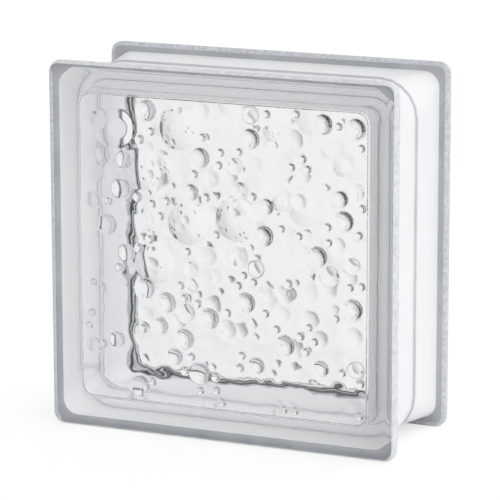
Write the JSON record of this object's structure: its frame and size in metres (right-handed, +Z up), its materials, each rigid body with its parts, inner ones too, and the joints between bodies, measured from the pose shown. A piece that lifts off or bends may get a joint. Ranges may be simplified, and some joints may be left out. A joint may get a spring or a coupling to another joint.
{
  "type": "glass block",
  "caption": "Square hollow glass block for walls: two pressed half shells fused at a seam, bubble relief inside, mortar key round the edge.",
  "frame": {"origin": "centre of the footprint, on the level that the block stands on", "axes": "+Z up along the block's height, +Y from the front face to the back face through its depth, +X along its width"},
  "size_m": [0.19, 0.08, 0.19],
  "materials": {
    "pressed_glass_front": "clear pressed glass, smooth outside, bubbles inside, white coating on the edges and in the mortar key",
    "pressed_glass_back": "clear pressed glass, smooth outside, bubbles inside, white coating on the edges and in the mortar key"
  },
  "bodies": {
    "root": {"front_shell": "pressed_glass_front", "back_shell": "pressed_glass_back"}
  },
  "joints": []
}
